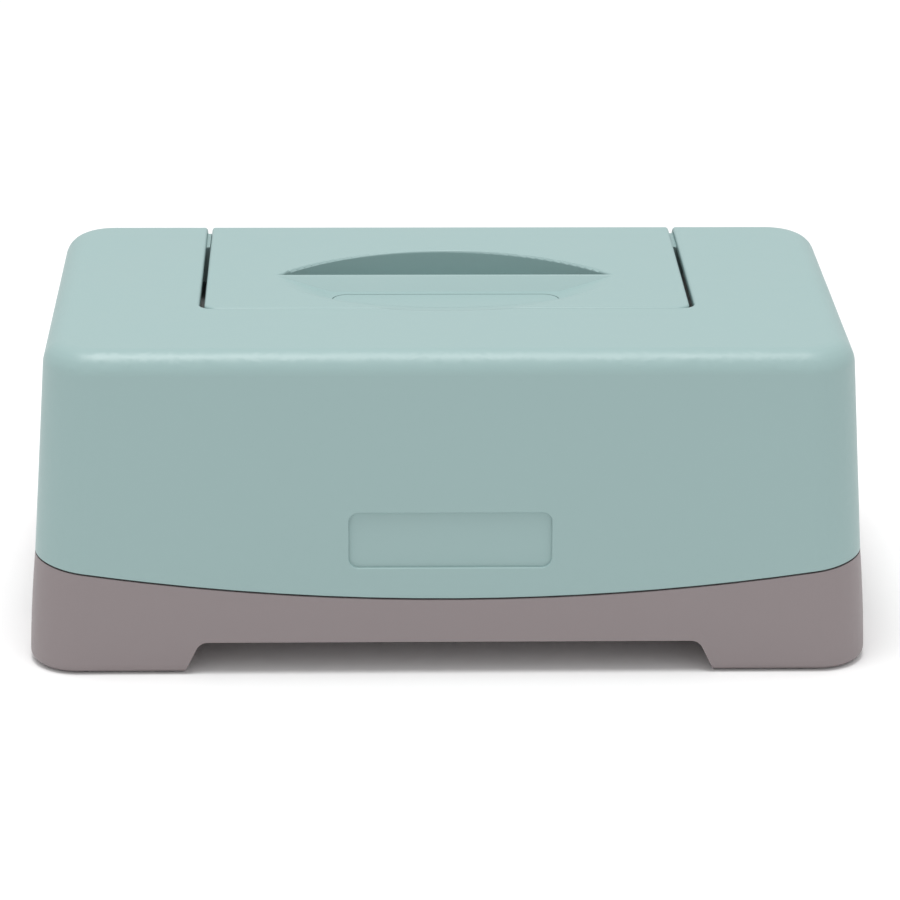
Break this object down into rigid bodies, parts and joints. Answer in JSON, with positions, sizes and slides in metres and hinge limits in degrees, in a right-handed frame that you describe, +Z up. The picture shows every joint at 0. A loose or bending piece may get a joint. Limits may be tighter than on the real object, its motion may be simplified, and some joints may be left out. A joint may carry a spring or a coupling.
{
  "type": "wipes box",
  "caption": "Wipes box with a footed tray, a lift-off sloping cover and a flush flip lid with a finger pocket, thumb scoop and push button over a soft dispensing mouth.",
  "frame": {"origin": "on the surface the box stands on, under the middle of the box", "axes": "+X along the box to the right seen from the front, +Y towards the hinge at the back, +Z up"},
  "size_m": [0.2598, 0.1458, 0.102],
  "materials": {
    "taupe_plastic": "fine satin texture",
    "mint_plastic": "fine satin texture",
    "white_plastic": "smooth satin",
    "pad_rubber": "matte",
    "seal_rubber": "satin silicone",
    "membrane_rubber": "satin silicone",
    "pin_steel": "drawn",
    "screw_steel": "zinc plated",
    "spring_steel": "drawn"
  },
  "bodies": {
    "base": {"base_tray": "taupe_plastic", "foot_pad_front_left": "pad_rubber", "foot_pad_front_right": "pad_rubber", "foot_pad_rear_left": "pad_rubber", "foot_pad_rear_right": "pad_rubber", "rim_seal": "seal_rubber"},
    "cover": {"cover_shell": "mint_plastic", "inner_deck": "white_plastic", "deck_screws": "screw_steel", "dispensing_membrane": "membrane_rubber", "membrane_ring": "white_plastic", "latch_keeper": "white_plastic", "hinge_pin_left": "pin_steel", "hinge_pin_right": "pin_steel"},
    "lid": {"lid_panel": "mint_plastic", "lid_liner": "white_plastic", "liner_screws": "screw_steel", "lid_seal": "seal_rubber", "latch_hook": "white_plastic", "button_spring": "spring_steel"},
    "button": {"thumb_button": "mint_plastic"}
  },
  "joints": [
    {"name": "cover_lift", "type": "slide", "parent": "base", "child": "cover", "axis": [0, 0, 1], "range_m": [0, 0.06]},
    {"name": "lid_hinge", "type": "hinge", "parent": "cover", "child": "lid", "pos_m": [0, 0.05937, 0.0946], "axis": [-1, 0, 0], "range_deg": [0, 105]},
    {"name": "button_press", "type": "slide", "parent": "lid", "child": "button", "axis": [0, 0, -1], "range_m": [0, 0.0015], "stiffness_N_per_m": 800, "deforming": ["button_spring"]}
  ]
}
